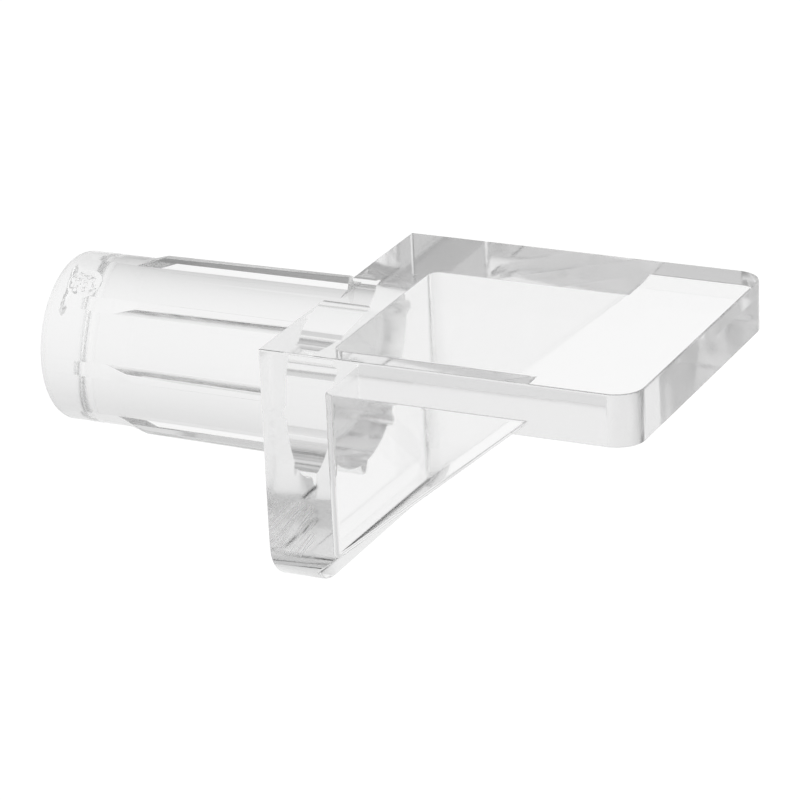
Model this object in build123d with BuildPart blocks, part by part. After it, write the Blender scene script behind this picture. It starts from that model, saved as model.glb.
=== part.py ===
from build123d import *
import os

# Shelf support pin, moulded in one piece of clear plastic.
# Millimetres. The origin is on the pin's axis, at the face of the wall that seats on the cabinet side.
# The pin runs along -X into the cabinet side, the shelf plate along +X under the shelf, and +Z is up.

# Pin: a parallel lead at its end, then a core that widens a little towards the wall for the mould's draft
pin_length = 9.8
pin_lead_diameter = 5.7
pin_root_diameter = 5.78
pin_tip_radius = 0.3

# Crush ribs, which stand proud of the core and bite into the hole
rib_count = 8
rib_lead = 2.6
rib_nose_length = 1.0
rib_nose_height = 0.31
rib_root_height = 0.36
rib_base_width = 0.54
rib_crest_width = 0.24

# Gate mark, left on the pin's end where the plastic was let into the mould
gate_diameter = 1.3
gate_height = 0.12
gate_offset = 1.1

# Shelf plate
plate_length = 12.7
plate_width = 11.5
plate_thickness = 1.75
plate_corner_radius = 0.92
plate_top_above_axis = 2.78

# Wall that seats on the cabinet side
wall_thickness = 1.6
wall_height = 8.15
wall_corner_radius = 1.45

# Side webs that brace the plate against the wall, flush with both sides of the part, with an open pocket between
web_thickness = 1.95
web_reach = 8.62
web_foot_rise = 0.6
pocket_corner_radius = 0.4

# Places worked out from the sizes
lead_radius = pin_lead_diameter / 2
root_radius = pin_root_diameter / 2
rib_start = rib_lead - pin_length
rib_nose_end = rib_start + rib_nose_length
rib_foot = lead_radius - rib_base_width / 2
rib_flank_run = (rib_base_width - rib_crest_width) / 2 / rib_root_height
core_growth = (root_radius - lead_radius) / -rib_start
plate_underside = plate_top_above_axis - plate_thickness
wall_bottom = plate_top_above_axis - wall_height
web_foot = wall_bottom + web_foot_rise
pocket_width = plate_width - 2 * web_thickness


# One rib, at the top of the pin, as spans between two sections: a nose that rises out of the pin,
# and a body that grows towards the wall. Each section is a station along X and a height above the core there.
# The flanks keep one slope, so the nose widens as it rises, as a groove does where its cutter enters.
rib_spans = (
    ((rib_start, 0), (rib_nose_end, rib_nose_height)),
    ((rib_nose_end, rib_nose_height), (0, rib_root_height)),
)
with BuildPart() as rib:
    for span in rib_spans:
        for station, height in span:
            crest = lead_radius + core_growth * (station - rib_start) + height
            foot_width = rib_crest_width + 2 * rib_flank_run * (crest - rib_foot)
            with BuildSketch(Plane.YZ.offset(station)):
                with BuildLine():
                    Polyline(
                        (-foot_width / 2, rib_foot),
                        (-rib_crest_width / 2, crest),
                        (rib_crest_width / 2, crest),
                        (foot_width / 2, rib_foot),
                        close=True,
                    )
                make_face()
        loft(ruled=True)

with BuildPart() as support_pin:
    # Wall and side webs: one outline with rounded lower corners, trimmed to the slope of the webs
    with BuildSketch(Plane.YZ) as wall_outline:
        with Locations((0, plate_top_above_axis - wall_height / 2)):
            Rectangle(plate_width, wall_height)
        fillet(wall_outline.vertices().group_by(Axis.Y)[0], wall_corner_radius)
    extrude(amount=web_reach)
    with BuildSketch(Plane.XZ):
        with BuildLine():
            Polyline(
                (0, plate_top_above_axis),
                (0, wall_bottom),
                (wall_thickness, wall_bottom),
                (wall_thickness, web_foot),
                (web_reach, plate_underside),
                (web_reach, plate_top_above_axis),
                close=True,
            )
        make_face()
    extrude(amount=plate_width / 2, both=True, mode=Mode.INTERSECT)

    # Pocket between the webs, open below and towards the free end, with its two inner corners rounded
    with BuildSketch(Plane.XY.offset(plate_underside)) as pocket_outline:
        with Locations(((wall_thickness + plate_length) / 2, 0)):
            Rectangle(plate_length - wall_thickness, pocket_width)
        fillet(pocket_outline.vertices().group_by(Axis.X)[0], pocket_corner_radius)
    extrude(amount=-wall_height, mode=Mode.SUBTRACT)

    # Shelf plate: flush with the wall's top and outer face, rounded at its two free corners
    with BuildSketch(Plane.XY.offset(plate_underside)) as plate_outline:
        with Locations((plate_length / 2, 0)):
            Rectangle(plate_length, plate_width)
        fillet(plate_outline.vertices().group_by(Axis.X)[-1], plate_corner_radius)
    extrude(amount=plate_thickness)

    # Pin: turned about X, with its end edge rounded
    with BuildSketch(Plane.XZ) as pin_profile:
        with BuildLine():
            Polyline(
                (-pin_length, 0),
                (-pin_length, lead_radius),
                (rib_start, lead_radius),
                (0, root_radius),
                (0, 0),
                close=True,
            )
        make_face()
        fillet(pin_profile.vertices().group_by(Axis.X)[0].sort_by(Axis.Y)[-1], pin_tip_radius)
    revolve(axis=Axis.X)

    # Crush ribs, evenly spaced round the pin
    for index in range(rib_count):
        add(rib.part, rotation=(360 * index / rib_count, 0, 0))

    # Gate mark on the pin's end
    with BuildSketch(Plane.YZ.offset(-pin_length)):
        with Locations((0, gate_offset)):
            Circle(gate_diameter / 2)
    extrude(amount=-gate_height)

support_pin.part.label = "support_pin"

os.makedirs("parts", exist_ok=True)
export_step(support_pin.part, "parts/support_pin.step")
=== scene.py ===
"""A clear moulded shelf support pin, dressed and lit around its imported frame.

The support is one moulding: a ribbed pin that presses into a hole in the cabinet side, a wall that
seats on that side, a plate that carries the shelf, and two side webs that brace the plate.
"""

import logging
import math
from dataclasses import dataclass, field
from enum import Enum
from typing import Callable, Dict, Optional, Tuple, Union

import bmesh
import bpy
from mathutils import Matrix, Vector


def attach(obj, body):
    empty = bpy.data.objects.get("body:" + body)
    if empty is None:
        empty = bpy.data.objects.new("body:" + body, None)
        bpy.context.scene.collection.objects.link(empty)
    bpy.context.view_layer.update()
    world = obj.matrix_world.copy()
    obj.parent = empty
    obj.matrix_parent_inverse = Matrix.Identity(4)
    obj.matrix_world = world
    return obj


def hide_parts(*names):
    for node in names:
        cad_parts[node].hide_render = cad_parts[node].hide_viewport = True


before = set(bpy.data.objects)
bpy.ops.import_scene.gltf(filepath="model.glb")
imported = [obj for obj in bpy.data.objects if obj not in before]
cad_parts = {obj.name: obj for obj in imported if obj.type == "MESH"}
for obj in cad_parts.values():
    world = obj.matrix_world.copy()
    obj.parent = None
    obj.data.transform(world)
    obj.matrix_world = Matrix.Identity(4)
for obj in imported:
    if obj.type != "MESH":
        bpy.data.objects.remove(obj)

LOG = logging.getLogger("shelf_support")
MM = 0.001
HAIR = 0.0002 * MM
WHISKER = 0.01 * MM
FLATNESS = math.radians(0.2)
SHARP_FOLD = math.radians(30)
ALIGNED = 0.999
FACING = 0.9
CAD_NODE = "support_pin"
PIECE_NAME = "moulded_support"
WHITE = (1.0, 1.0, 1.0, 1.0)
LIGHT_BOUNCES = 32

Number = Union[int, float]
Point = Tuple[float, float, float]


class Axis(Enum):
    """The part's own directions: out of the cabinet side, along the shelf's edge, and up."""

    OUT = Vector((1, 0, 0))
    ALONG = Vector((0, 1, 0))
    UP = Vector((0, 0, 1))


class Tool(Enum):
    """The bench tools that work on the edges or faces picked beforehand."""

    EDGES = "EDGE"
    FACES = "FACE"


class Fit(Enum):
    """How two pieces are combined."""

    FUSED = "UNION"
    TAKEN_AWAY = "DIFFERENCE"


class Workpiece:
    """One mesh on the bench, shaped in edit mode and then joined to the moulding."""

    def __init__(self, shape: bpy.types.Object) -> None:
        """Takes up a mesh object.

        Args:
            shape: The mesh object to be worked on.
        """
        self.shape = shape

    @classmethod
    def block(cls, name: str, low: Point, high: Point) -> "Workpiece":
        """Starts a piece from a block.

        Args:
            name: The piece's name.
            low: The block's lowest corner.
            high: The block's highest corner.

        Returns:
            The new workpiece, with its place in its mesh.
        """
        bpy.ops.object.select_all(action="DESELECT")
        middle = (Vector(low) + Vector(high)) / 2
        bpy.ops.mesh.primitive_cube_add(size=1, location=middle)
        shape = bpy.context.object
        shape.scale = Vector(high) - Vector(low)
        return cls(shape)._settled(name)

    @classmethod
    def rod(cls, name: str, start: Point, length: float, radius: float, sides: int) -> "Workpiece":
        """Starts a piece from a rod that lies along the pin's axis.

        Args:
            name: The piece's name.
            start: The middle of the rod's end that is nearer the cabinet.
            length: The rod's length.
            radius: The rod's radius.
            sides: The number of flats that make up the rod's round.

        Returns:
            The new workpiece, with its place in its mesh.
        """
        bpy.ops.object.select_all(action="DESELECT")
        middle = Vector(start) + Axis.OUT.value * length / 2
        bpy.ops.mesh.primitive_cylinder_add(
            vertices=sides, radius=radius, depth=length, location=middle, rotation=(0, math.pi / 2, 0)
        )
        return cls(bpy.context.object)._settled(name)

    def _settled(self, name: str) -> "Workpiece":
        """Names the piece and moves its place into its mesh.

        Args:
            name: The piece's name.

        Returns:
            The same workpiece.
        """
        self.shape.name = name
        self.shape.data.name = name
        bpy.ops.object.transform_apply(location=True, rotation=True, scale=True)
        return self

    def _take_up(self) -> None:
        """Makes this piece the only one selected, and the active one."""
        bpy.ops.object.select_all(action="DESELECT")
        self.shape.select_set(True)
        bpy.context.view_layer.objects.active = self.shape

    def _work(self, tool: Tool, wanted: Callable[[Union[bmesh.types.BMEdge, bmesh.types.BMFace]], bool],
              operate: Callable[[], object]) -> "Workpiece":
        """Picks edges or faces by their place, and runs one operator on them.

        Args:
            tool: Whether edges or faces are picked.
            wanted: Says of an edge or a face whether it is picked.
            operate: Calls the operator.

        Returns:
            The same workpiece.
        """
        self._take_up()
        bpy.ops.object.mode_set(mode="EDIT")
        bpy.ops.mesh.select_mode(type=tool.value)
        bpy.ops.mesh.select_all(action="DESELECT")
        cage = bmesh.from_edit_mesh(self.shape.data)
        cage.normal_update()
        for element in cage.edges if tool is Tool.EDGES else cage.faces:
            if wanted(element):
                element.select_set(True)
        cage.select_flush_mode()
        bmesh.update_edit_mesh(self.shape.data)
        operate()
        bpy.ops.object.mode_set(mode="OBJECT")
        return self

    def round_edges(self, wanted: Callable[[bmesh.types.BMEdge], bool], radius: float,
                    steps: int) -> "Workpiece":
        """Rounds the picked edges.

        Args:
            wanted: Says of an edge whether it is rounded.
            radius: The rounding's radius.
            steps: The number of flats that make up the rounding.

        Returns:
            The same workpiece.
        """
        return self._work(
            Tool.EDGES, wanted,
            lambda: bpy.ops.mesh.bevel(offset=radius, segments=steps, profile=0.5, affect="EDGES"),
        )

    def taper(self, wanted: Callable[[bmesh.types.BMFace], bool], factor: Point,
              centre: Point) -> "Workpiece":
        """Scales the picked faces about a point.

        Args:
            wanted: Says of a face whether it is scaled.
            factor: The scale along each axis.
            centre: The point that stays where it is.

        Returns:
            The same workpiece.
        """
        return self._work(
            Tool.FACES, wanted,
            lambda: bpy.ops.transform.resize(value=factor, center_override=centre),
        )

    def cut(self, point: Point, normal: Point, discard: bool = True) -> "Workpiece":
        """Cuts the whole piece by a plane.

        Args:
            point: A point on the plane.
            normal: The plane's normal, which points at what is cut away.
            discard: Whether the side that the normal points at is cut away, and the cut closed.

        Returns:
            The same workpiece.
        """
        return self._work(
            Tool.FACES, lambda face: True,
            lambda: bpy.ops.mesh.bisect(plane_co=point, plane_no=Vector(normal).normalized(),
                                        use_fill=discard, clear_outer=discard, threshold=HAIR),
        )

    def copy_turned(self, angle: float) -> "Workpiece":
        """Makes a copy that is turned about the pin's axis.

        Args:
            angle: The turn, in radians.

        Returns:
            The copy, with its own mesh.
        """
        twin = self.shape.copy()
        twin.data = self.shape.data.copy()
        bpy.context.scene.collection.objects.link(twin)
        twin.data.transform(Matrix.Rotation(angle, 4, Axis.OUT.value))
        return Workpiece(twin)

    def _combine(self, other: "Workpiece", fit: Fit) -> "Workpiece":
        """Fuses another piece into this one, or takes it away from it.

        Args:
            other: The other piece, which is gone afterwards.
            fit: How the two are combined.

        Returns:
            The same workpiece.
        """
        self._take_up()
        modifier = self.shape.modifiers.new(fit.name, "BOOLEAN")
        modifier.operation = fit.value
        modifier.solver = "EXACT"
        modifier.object = other.shape
        bpy.ops.object.modifier_apply(modifier=modifier.name)
        bpy.data.objects.remove(other.shape, do_unlink=True)
        return self

    def join(self, other: "Workpiece") -> "Workpiece":
        """Fuses another piece into this one."""
        return self._combine(other, Fit.FUSED)

    def take_away(self, other: "Workpiece") -> "Workpiece":
        """Takes another piece's space away from this one."""
        return self._combine(other, Fit.TAKEN_AWAY)

    def clean(self) -> "Workpiece":
        """Merges doubled points and makes each flat one face.

        Returns:
            The same workpiece.
        """
        self._take_up()
        bpy.ops.object.mode_set(mode="EDIT")
        bpy.ops.mesh.select_all(action="SELECT")
        bpy.ops.mesh.remove_doubles(threshold=HAIR)
        bpy.ops.mesh.dissolve_limited(angle_limit=FLATNESS)
        bpy.ops.object.mode_set(mode="OBJECT")
        return self

    def finish_skin(self, sharpness: float) -> bpy.types.Object:
        """Shades the rounds smooth and the flats flat.

        Args:
            sharpness: The angle over which an edge stays sharp, in radians.

        Returns:
            The finished mesh object.
        """
        self.clean()
        bpy.ops.object.shade_smooth_by_angle(angle=sharpness)
        modifier = self.shape.modifiers.new("normals", "WEIGHTED_NORMAL")
        modifier.keep_sharp = True
        bpy.ops.object.modifier_apply(modifier=modifier.name)
        return self.shape


def runs_along(edge: bmesh.types.BMEdge, axis: Axis) -> bool:
    """Says whether an edge runs along an axis.

    Args:
        edge: The edge.
        axis: The axis.

    Returns:
        True where they are parallel.
    """
    run = (edge.verts[1].co - edge.verts[0].co).normalized()
    return abs(run.dot(axis.value)) > ALIGNED


def looks_along(face: bmesh.types.BMFace, axis: Axis) -> bool:
    """Says whether a face looks along an axis.

    Args:
        face: The face.
        axis: The axis.

    Returns:
        True where the face's normal points about that way.
    """
    return face.normal.dot(axis.value) > FACING


def is_sharp(edge: bmesh.types.BMEdge) -> bool:
    """Says whether the faces beside an edge meet at a sharp fold."""
    return edge.calc_face_angle(0.0) > SHARP_FOLD


@dataclass
class Bracket:
    """The wall that seats on the cabinet side, the plate under the shelf, and the two webs between."""

    plate_length: float = 12.7 * MM
    plate_width: float = 11.5 * MM
    plate_thickness: float = 1.75 * MM
    plate_corner_radius: float = 0.92 * MM
    plate_top: float = 2.78 * MM
    wall_thickness: float = 1.6 * MM
    wall_height: float = 8.15 * MM
    wall_corner_radius: float = 1.45 * MM
    web_thickness: float = 1.95 * MM
    web_reach: float = 8.62 * MM
    web_foot_rise: float = 0.6 * MM
    pocket_corner_radius: float = 0.4 * MM
    edge_radius: float = 0.07 * MM
    corner_steps: int = 20
    pocket_steps: int = 8
    edge_steps: int = 2
    overrun: float = 5.0 * MM

    @property
    def underside(self) -> float:
        """The height of the plate's underside."""
        return self.plate_top - self.plate_thickness

    @property
    def wall_bottom(self) -> float:
        """The height of the wall's lower end."""
        return self.plate_top - self.wall_height

    def _blank(self) -> Workpiece:
        """Models the outer form, as if it were solid under the plate.

        Returns:
            The blank, with the plate's and the wall's corners rounded.
        """
        half_width = self.plate_width / 2
        blank = Workpiece.block(
            "bracket", (0, -half_width, self.wall_bottom), (self.plate_length, half_width, self.plate_top)
        )
        blank.round_edges(
            lambda edge: runs_along(edge, Axis.UP) and edge.verts[0].co.x > self.wall_thickness,
            self.plate_corner_radius,
            self.corner_steps,
        )
        return blank.round_edges(
            lambda edge: runs_along(edge, Axis.OUT) and edge.verts[0].co.z < 0,
            self.wall_corner_radius,
            self.corner_steps,
        )

    def _space_below(self) -> Workpiece:
        """Models the space under the plate and beyond the webs' slope.

        Returns:
            The space, as a solid to be taken away.
        """
        slope = Vector((
            self.web_reach - self.wall_thickness,
            0,
            self.underside - self.wall_bottom - self.web_foot_rise,
        ))
        space = Workpiece.block(
            "space_below",
            (self.wall_thickness, -self.plate_width, self.wall_bottom - self.overrun),
            (self.plate_length + self.overrun, self.plate_width, self.underside),
        )
        return space.cut((self.web_reach, 0, self.underside), (-slope.z, 0, slope.x))

    def _pocket(self) -> Workpiece:
        """Models the pocket between the webs.

        Returns:
            The pocket, as a solid to be taken away.
        """
        half_width = self.plate_width / 2 - self.web_thickness
        pocket = Workpiece.block(
            "pocket",
            (self.wall_thickness, -half_width, self.wall_bottom - self.overrun),
            (self.plate_length, half_width, self.underside),
        )
        return pocket.round_edges(
            lambda edge: runs_along(edge, Axis.UP) and edge.verts[0].co.x < self.web_reach,
            self.pocket_corner_radius,
            self.pocket_steps,
        )

    def build(self) -> Workpiece:
        """Models the bracket.

        Returns:
            The bracket, with its corners and edges rounded.
        """
        bracket = self._blank().take_away(self._space_below()).take_away(self._pocket())
        bracket.clean()
        return bracket.round_edges(is_sharp, self.edge_radius, self.edge_steps)


@dataclass
class Pin:
    """The pin that presses into the hole, with a parallel lead and a drafted body."""

    length: float = 9.8 * MM
    lead_radius: float = 2.85 * MM
    root_radius: float = 2.89 * MM
    lead: float = 2.6 * MM
    tip_radius: float = 0.3 * MM
    bite: float = 0.5 * MM
    sides: int = 256
    tip_steps: int = 8

    @property
    def rib_start(self) -> float:
        """Where the lead ends and the ribs begin, along the pin's axis."""
        return self.lead - self.length

    @property
    def growth(self) -> float:
        """How much the radius grows for each unit along the drafted body."""
        return (self.root_radius - self.lead_radius) / -self.rib_start

    def build(self) -> Workpiece:
        """Models the pin, which bites a little into the wall.

        Returns:
            The pin, with its end edge rounded.
        """
        pin = Workpiece.rod(
            "pin", (-self.length, 0, 0), self.length + self.bite, self.lead_radius, self.sides
        )
        pin.cut((self.rib_start, 0, 0), Axis.OUT.value, discard=False)
        swell = 1 + self.growth * (self.bite - self.rib_start) / self.lead_radius
        pin.taper(lambda face: looks_along(face, Axis.OUT), (1, swell, swell), (self.bite, 0, 0))
        return pin.round_edges(
            lambda edge: is_sharp(edge) and edge.verts[0].co.x < WHISKER - self.length,
            self.tip_radius,
            self.tip_steps,
        )


@dataclass
class CrushRibs:
    """The ribs that stand proud of the pin and bite into the hole."""

    pin: Pin
    count: int = 8
    nose_length: float = 1.0 * MM
    nose_height: float = 0.31 * MM
    root_height: float = 0.36 * MM
    base_width: float = 0.54 * MM
    crest_width: float = 0.24 * MM
    edge_radius: float = 0.03 * MM
    edge_steps: int = 2

    def _pattern(self) -> Workpiece:
        """Models the rib at the top of the pin.

        Returns:
            The rib, with its nose and its rising crest.
        """
        pin = self.pin
        foot = pin.lead_radius - self.base_width / 2
        flank = (self.base_width - self.crest_width) / 2 / self.root_height
        blank_height = foot + 2 * self.base_width
        foot_width = self.crest_width + 2 * flank * (pin.lead_radius + self.root_height - foot)
        top_width = foot_width - 2 * flank * (blank_height - foot)
        rib = Workpiece.block(
            "rib",
            (pin.rib_start - pin.bite, -foot_width / 2, foot),
            (pin.bite, foot_width / 2, blank_height),
        )
        rib.taper(
            lambda face: looks_along(face, Axis.UP), (1, top_width / foot_width, 1), (0, 0, blank_height)
        )
        nose_end = pin.rib_start + self.nose_length
        nose_crest = pin.lead_radius + pin.growth * self.nose_length + self.nose_height
        root_crest = pin.root_radius + self.root_height
        rise = (root_crest - nose_crest) / -nose_end
        rib.cut((0, 0, root_crest), (-rise, 0, 1))
        slant = (nose_crest - pin.lead_radius) / self.nose_length
        rib.cut((nose_end, 0, nose_crest), (-slant, 0, 1))
        return rib.round_edges(
            lambda edge: is_sharp(edge) and min(v.co.z for v in edge.verts) > pin.lead_radius
            and not runs_along(edge, Axis.ALONG),
            self.edge_radius,
            self.edge_steps,
        )

    def fuse_into(self, moulding: Workpiece) -> Workpiece:
        """Copies the rib round the pin and fuses each copy into the moulding.

        Args:
            moulding: The moulding, with its pin.

        Returns:
            The moulding, with its ribs.
        """
        pattern = self._pattern()
        for index in range(1, self.count):
            moulding.join(pattern.copy_turned(2 * math.pi * index / self.count))
        return moulding.join(pattern)


@dataclass
class GateMark:
    """The small stub that is left on the pin's end, where the plastic was let in."""

    pin: Pin
    radius: float = 0.65 * MM
    height: float = 0.12 * MM
    offset: float = 1.1 * MM
    edge_radius: float = 0.04 * MM
    sides: int = 48
    edge_steps: int = 2

    def build(self) -> Workpiece:
        """Models the stub, which bites into the pin's end.

        Returns:
            The gate mark, with its outer edge rounded.
        """
        end = -self.pin.length - self.height
        stub = Workpiece.rod(
            "gate_mark", (end, 0, self.offset), 2 * self.height, self.radius, self.sides
        )
        return stub.round_edges(
            lambda edge: is_sharp(edge) and edge.verts[0].co.x < end + WHISKER,
            self.edge_radius,
            self.edge_steps,
        )


class Wire:
    """A shader socket that takes part in plain arithmetic."""

    def __init__(self, board: "ShaderBoard", socket: bpy.types.NodeSocket) -> None:
        """Wraps a socket.

        Args:
            board: The board that the socket's node stands on.
            socket: The output socket.
        """
        self.board = board
        self.socket = socket

    def _math(self, operation: str, *values: Union["Wire", Number]) -> "Wire":
        """Adds a Math node.

        Args:
            operation: The node's operation.
            values: The node's inputs, as wires or numbers.

        Returns:
            The node's output.
        """
        inputs = dict(enumerate(values))
        return self.board.node("ShaderNodeMath", {"operation": operation}, inputs)

    def __add__(self, other: Union["Wire", Number]) -> "Wire":
        """Returns the sum."""
        return self._math("ADD", self, other)

    __radd__ = __add__

    def __mul__(self, other: Union["Wire", Number]) -> "Wire":
        """Returns the product."""
        return self._math("MULTIPLY", self, other)

    __rmul__ = __mul__

    def __sub__(self, other: Union["Wire", Number]) -> "Wire":
        """Returns the difference."""
        return self._math("SUBTRACT", self, other)

    def __rsub__(self, other: Number) -> "Wire":
        """Returns the difference, with this wire taken off a number."""
        return self._math("SUBTRACT", other, self)

    def __truediv__(self, other: Union["Wire", Number]) -> "Wire":
        """Returns the quotient."""
        return self._math("DIVIDE", self, other)

    def __abs__(self) -> "Wire":
        """Returns the wire without its sign."""
        return self._math("ABSOLUTE", self)

    def clamped(self, most: float = 1.0) -> "Wire":
        """Returns the wire kept between 0 and a limit.

        Args:
            most: The limit.

        Returns:
            The limited wire.
        """
        return self.board.node("ShaderNodeClamp", {}, {"Value": self, "Max": most})

    def exp(self) -> "Wire":
        """Returns e to the power of the wire."""
        return self._math("EXPONENT", self)

    def ramp(self, start: float, end: float, low: float = 0.0, high: float = 1.0) -> "Wire":
        """Maps the wire smoothly from one range to another.

        Args:
            start: The value that gives low.
            end: The value that gives high.
            low: The result at start and before.
            high: The result at end and past it.

        Returns:
            The mapped wire.
        """
        settings = {"interpolation_type": "SMOOTHSTEP"}
        inputs = {"Value": self, "From Min": start, "From Max": end, "To Min": low, "To Max": high}
        return self.board.node("ShaderNodeMapRange", settings, inputs)


class ShaderBoard:
    """A node tree that is filled by one method."""

    def __init__(self, owner: Union[bpy.types.Material, bpy.types.World]) -> None:
        """Clears the owner's node tree.

        Args:
            owner: The material or world that the nodes are for.
        """
        owner.use_nodes = True
        self.tree = owner.node_tree
        self.tree.nodes.clear()

    def node(self, kind: str, settings: Optional[Dict[str, object]] = None,
             inputs: Optional[Dict[Union[int, str], object]] = None,
             output: Union[int, str] = 0) -> Wire:
        """Adds a node.

        Args:
            kind: The node's type.
            settings: The node's own settings, which are set first.
            inputs: The values or wires of its sockets.
            output: The output socket that is handed back.

        Returns:
            The chosen output as a wire.
        """
        node = self.tree.nodes.new(kind)
        for name, value in (settings or {}).items():
            setattr(node, name, value)
        for name, value in (inputs or {}).items():
            if isinstance(value, Wire):
                self.tree.links.new(value.socket, node.inputs[name])
            else:
                node.inputs[name].default_value = value
        chosen = node.outputs[output] if len(node.outputs) else None
        return Wire(self, chosen)

    def axis(self, place: Wire, name: str) -> Wire:
        """Picks one coordinate of a point.

        Args:
            place: The point.
            name: The coordinate, which is X, Y or Z.

        Returns:
            The coordinate as a wire.
        """
        return self.node("ShaderNodeSeparateXYZ", {}, {"Vector": place}, name)


@dataclass(frozen=True)
class DragMarks:
    """The slanting marks that the mould leaves on the foot of the wall's two sides.

    They fade in between two distances from the part's middle plane, so that only the sides have
    them, and fade out at the given heights and towards the webs.
    """

    side_start: float = 5.7 * MM
    side_full: float = 5.74 * MM
    top: float = -1.7 * MM
    top_full: float = -2.6 * MM
    foot_full: float = -4.0 * MM
    foot: float = -4.8 * MM
    wall_full: float = 1.5 * MM
    wall_end: float = 1.9 * MM
    slant: float = math.radians(-52)
    length: float = 1.4 * MM
    width: float = 0.09 * MM
    detail: float = 2.0
    faintest: float = 0.35
    strongest: float = 0.65
    roughness: float = 0.32

    def strength(self, board: ShaderBoard, place: Wire) -> Wire:
        """Works out how strongly each point is marked.

        Args:
            board: The material's board.
            place: The point, in the object's own coordinates.

        Returns:
            A wire between 0 and 1.
        """
        across = abs(board.axis(place, "Y")).ramp(self.side_start, self.side_full)
        height = board.axis(place, "Z")
        below_top = height.ramp(self.top_full, self.top, 1.0, 0.0)
        above_foot = height.ramp(self.foot, self.foot_full)
        on_wall = board.axis(place, "X").ramp(self.wall_full, self.wall_end, 1.0, 0.0)
        turned = board.node(
            "ShaderNodeMapping", {"vector_type": "TEXTURE"},
            {"Vector": place, "Rotation": (0, self.slant, 0)}
        )
        drawn = board.node(
            "ShaderNodeVectorMath", {"operation": "MULTIPLY"},
            {0: turned, 1: (1 / self.length, 0.0, 1 / self.width)}
        )
        streaks = board.node(
            "ShaderNodeTexNoise", {}, {"Vector": drawn, "Scale": 1.0, "Detail": self.detail}
        )
        drawn_strength = streaks.ramp(self.faintest, self.strongest)
        return across * (below_top * above_foot) * on_wall * drawn_strength


@dataclass(frozen=True)
class GateScar:
    """The small torn spot beside the pin's end."""

    middle: Point = (-8.6 * MM, -1.42 * MM, 2.47 * MM)
    reach: float = 0.62 * MM
    grain: float = 0.3 * MM
    detail: float = 1.0
    height: float = 0.2 * MM

    def relief(self, board: ShaderBoard, place: Wire) -> Wire:
        """Works out how far the scar stands out.

        Args:
            board: The material's board.
            place: The point, in the object's own coordinates.

        Returns:
            The height as a wire.
        """
        distance = board.node(
            "ShaderNodeVectorMath", {"operation": "DISTANCE"}, {0: place, 1: self.middle}, "Value"
        )
        torn = board.node(
            "ShaderNodeTexNoise", {},
            {"Vector": place, "Scale": 1 / self.grain, "Detail": self.detail}
        )
        return torn * distance.ramp(self.reach / 2, self.reach, 1.0, 0.0) * self.height


@dataclass(frozen=True)
class MattRim:
    """The rounded rim of the pin's end, which is a little less glossy than the rest."""

    start: float = -9.4 * MM
    full: float = -9.55 * MM
    inside: float = 2.4 * MM
    outside: float = 2.55 * MM
    roughness: float = 0.22

    def strength(self, board: ShaderBoard, place: Wire) -> Wire:
        """Works out which points are on the rim.

        Args:
            board: The material's board.
            place: The point, in the object's own coordinates.

        Returns:
            A wire between 0 and 1.
        """
        flattened = board.node(
            "ShaderNodeVectorMath", {"operation": "MULTIPLY"}, {0: place, 1: (0, 1, 1)}
        )
        off_axis = board.node(
            "ShaderNodeVectorMath", {"operation": "LENGTH"}, {0: flattened}, "Value"
        )
        near_end = board.axis(place, "X").ramp(self.full, self.start, 1.0, 0.0)
        return near_end * off_axis.ramp(self.inside, self.outside)


@dataclass(frozen=True)
class ClearPlastic:
    """The clear moulded plastic of the support, with the faint waves of its flow."""

    tint: Tuple[float, float, float, float] = WHITE
    ior: float = 1.49
    depth_tint: Tuple[float, float, float, float] = (0.37, 0.37, 0.37, 1.0)
    depth_density: float = 19.0
    roughness: float = 0.06
    flow_size: float = 1.6 * MM
    flow_detail: float = 2.0
    flow_height: float = 0.001 * MM
    marks: DragMarks = DragMarks()
    scar: GateScar = GateScar()
    rim: MattRim = MattRim()

    def dress(self, shape: bpy.types.Object) -> bpy.types.Material:
        """Makes the plastic and puts it on a piece.

        Args:
            shape: The piece.

        Returns:
            The new material.
        """
        material = bpy.data.materials.new("clear_plastic")
        board = ShaderBoard(material)
        place = board.node("ShaderNodeTexCoord", output="Object")
        marked = self.marks.strength(board, place)
        rim = self.rim.strength(board, place)
        roughness = self.roughness + marked * self.marks.roughness + rim * self.rim.roughness
        flow = board.node(
            "ShaderNodeTexNoise", {},
            {"Vector": place, "Scale": 1 / self.flow_size, "Detail": self.flow_detail}
        )
        height = flow * self.flow_height + self.scar.relief(board, place)
        skin = board.node("ShaderNodeBump", {}, {"Distance": 1.0, "Height": height})
        plastic = board.node(
            "ShaderNodeBsdfPrincipled", {},
            {
                "Base Color": self.tint,
                "Roughness": roughness,
                "IOR": self.ior,
                "Transmission Weight": 1.0,
                "Normal": skin,
            },
        )
        depth = board.node(
            "ShaderNodeVolumeAbsorption", {},
            {"Color": self.depth_tint, "Density": self.depth_density}
        )
        board.node("ShaderNodeOutputMaterial", {}, {"Surface": plastic, "Volume": depth})
        shape.data.materials.clear()
        shape.data.materials.append(material)
        return material


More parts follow.
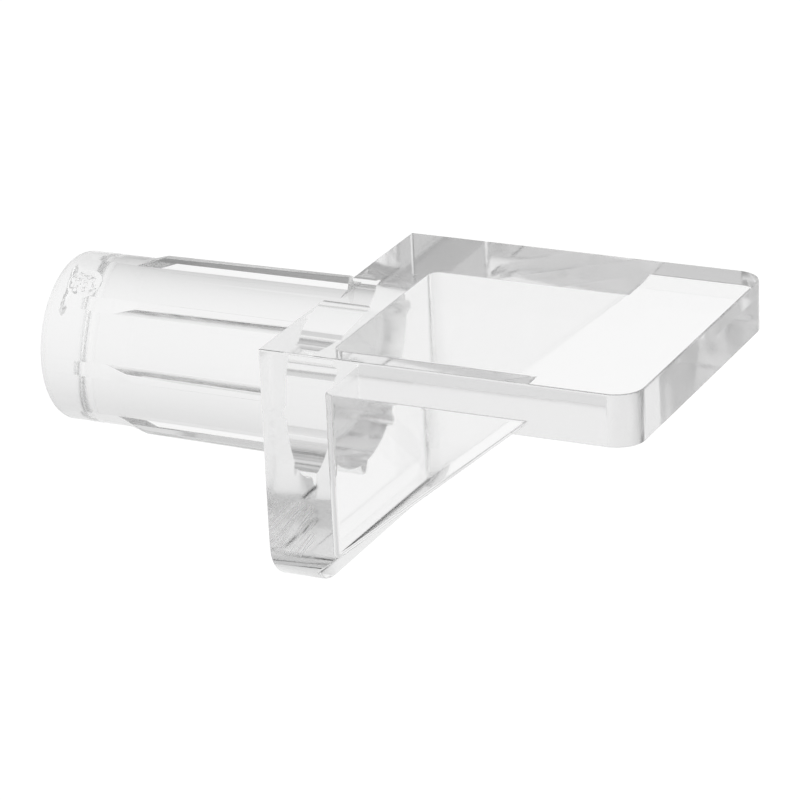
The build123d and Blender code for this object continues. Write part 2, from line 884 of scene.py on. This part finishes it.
@dataclass(frozen=True)
class SoftArea:
    """A soft-edged area of the tent that is darker or lighter than the rest.

    Its middle lies at a compass angle, clockwise from the direction along the shelf's edge, and at a
    height above the horizon, both in degrees.
    """

    compass: float
    height: float
    spread: float
    amount: float

    def glow(self, board: ShaderBoard, direction: Wire) -> Wire:
        """Works out how much the area adds to the tent's brightness.

        Args:
            board: The world's board.
            direction: The direction that is looked in.

        Returns:
            The brightness that is added.
        """
        turn, lift = math.radians(self.compass), math.radians(self.height)
        middle = (math.sin(turn) * math.cos(lift), math.cos(turn) * math.cos(lift), math.sin(lift))
        nearness = board.node(
            "ShaderNodeVectorMath", {"operation": "DOT_PRODUCT"}, {0: direction, 1: middle}, "Value"
        )
        return ((nearness - 1) / self.spread ** 2).exp() * self.amount


@dataclass
class Studio:
    """The pale floor, and the white tent round it with its soft darker and lighter areas."""

    floor_drop: float = 60 * MM
    floor_span: float = 2.0
    floor_colour: Tuple[float, float, float, float] = (0.9, 0.9, 0.9, 1.0)
    floor_glow: float = 0.15
    tent: float = 0.67
    areas: Tuple[SoftArea, ...] = (
        SoftArea(compass=0, height=-35, spread=0.87, amount=0.38),
        SoftArea(compass=103, height=-6, spread=0.4, amount=0.75),
        SoftArea(compass=169, height=-24, spread=0.29, amount=-0.52),
        SoftArea(compass=233, height=-59, spread=0.37, amount=-0.6),
    )
    brightest: float = 1.4

    def build(self) -> None:
        """Sets up the floor and the world."""
        self._floor()
        self._world()

    def _floor(self) -> None:
        """Lays the floor under the support, out of sight of what the plastic bends and mirrors."""
        bpy.ops.object.select_all(action="DESELECT")
        bpy.ops.mesh.primitive_plane_add(size=self.floor_span, location=(0, 0, -self.floor_drop))
        floor = bpy.context.object
        floor.name = "floor"
        bpy.ops.object.transform_apply(location=True, rotation=False, scale=False)
        material = bpy.data.materials.new("pale_floor")
        board = ShaderBoard(material)
        plain = board.node("ShaderNodeBsdfDiffuse", {}, {"Color": self.floor_colour})
        glow = board.node("ShaderNodeEmission", {}, {"Strength": self.floor_glow})
        floor_look = board.node("ShaderNodeAddShader", {}, {0: plain, 1: glow})
        board.node("ShaderNodeOutputMaterial", {}, {"Surface": floor_look})
        floor.data.materials.append(material)
        floor.visible_glossy = False
        floor.visible_transmission = False

    def _world(self) -> None:
        """Surrounds the support with white, which the plastic sees with the tent's soft areas."""
        world = bpy.data.worlds.new("white_tent")
        bpy.context.scene.world = world
        board = ShaderBoard(world)
        direction = board.node("ShaderNodeTexCoord", output="Generated")
        brightness = self.tent
        for area in self.areas:
            brightness = brightness + area.glow(board, direction)
        path = "ShaderNodeLightPath"
        in_plastic = board.node(path, output="Is Glossy Ray") + board.node(
            path, output="Is Transmission Ray"
        )
        seen = in_plastic.clamped()
        strength = brightness.clamped(self.brightest) * seen + (1 - seen)
        light = board.node("ShaderNodeBackground", {}, {"Color": WHITE, "Strength": strength})
        board.node("ShaderNodeOutputWorld", {}, {"Surface": light})


@dataclass
class PhotoCamera:
    """The camera, placed where the photograph was taken from."""

    azimuth: float = 26.0
    elevation: float = 21.73
    roll: float = -2.61
    lens: float = 186.5
    sensor: float = 36.0
    picture_side: float = 800.0
    origin_across: float = 341.3
    origin_down: float = 368.16
    distance: float = 135.58 * MM

    def build(self) -> bpy.types.Object:
        """Makes the camera and hands it to the scene.

        Returns:
            The camera object.
        """
        turn, lift, tilt = (math.radians(a) for a in (self.azimuth, self.elevation, self.roll))
        ahead = Vector((-math.sin(turn) * math.cos(lift), math.cos(turn) * math.cos(lift), -math.sin(lift)))
        level = Vector((math.cos(turn), math.sin(turn), 0))
        right = Matrix.Rotation(-tilt, 3, ahead) @ level
        up = right.cross(ahead)
        focal = self.lens / self.sensor * self.picture_side
        across = (self.origin_across - self.picture_side / 2) / focal
        above = (self.picture_side / 2 - self.origin_down) / focal
        data = bpy.data.cameras.new("camera")
        data.lens = self.lens
        data.sensor_width = self.sensor
        data.clip_start = MM
        camera = bpy.data.objects.new("camera", data)
        bpy.context.scene.collection.objects.link(camera)
        facing = Matrix((right, up, -ahead)).transposed().to_4x4()
        facing.translation = -(ahead + across * right + above * up) * self.distance
        camera.matrix_world = facing
        bpy.context.scene.camera = camera
        return camera


@dataclass
class ShelfSupport:
    """The whole moulding."""

    bracket: Bracket = field(default_factory=Bracket)
    pin: Pin = field(default_factory=Pin)
    sharpness: float = math.radians(32)

    def build(self) -> bpy.types.Object:
        """Models the moulding, dresses it and fastens it to the frame.

        Returns:
            The finished piece.
        """
        moulding = self.bracket.build()
        body = self.pin.build()
        body = CrushRibs(self.pin).fuse_into(body)
        body.join(GateMark(self.pin).build())
        moulding.join(body)
        shape = moulding.finish_skin(self.sharpness)
        shape.name = PIECE_NAME
        ClearPlastic().dress(shape)
        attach(shape, "root")
        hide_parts(CAD_NODE)
        LOG.info("%s: %d faces", shape.name, len(shape.data.polygons))
        return shape


def main() -> None:
    """Builds the support, its surroundings and the camera."""
    logging.basicConfig(level=logging.INFO)
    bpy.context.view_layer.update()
    scene = bpy.context.scene
    scene.view_settings.view_transform = "Standard"
    scene.cycles.max_bounces = LIGHT_BOUNCES
    scene.cycles.transmission_bounces = LIGHT_BOUNCES
    scene.cycles.glossy_bounces = LIGHT_BOUNCES
    ShelfSupport().build()
    Studio().build()
    PhotoCamera().build()


if __name__ == "__main__":
    main()
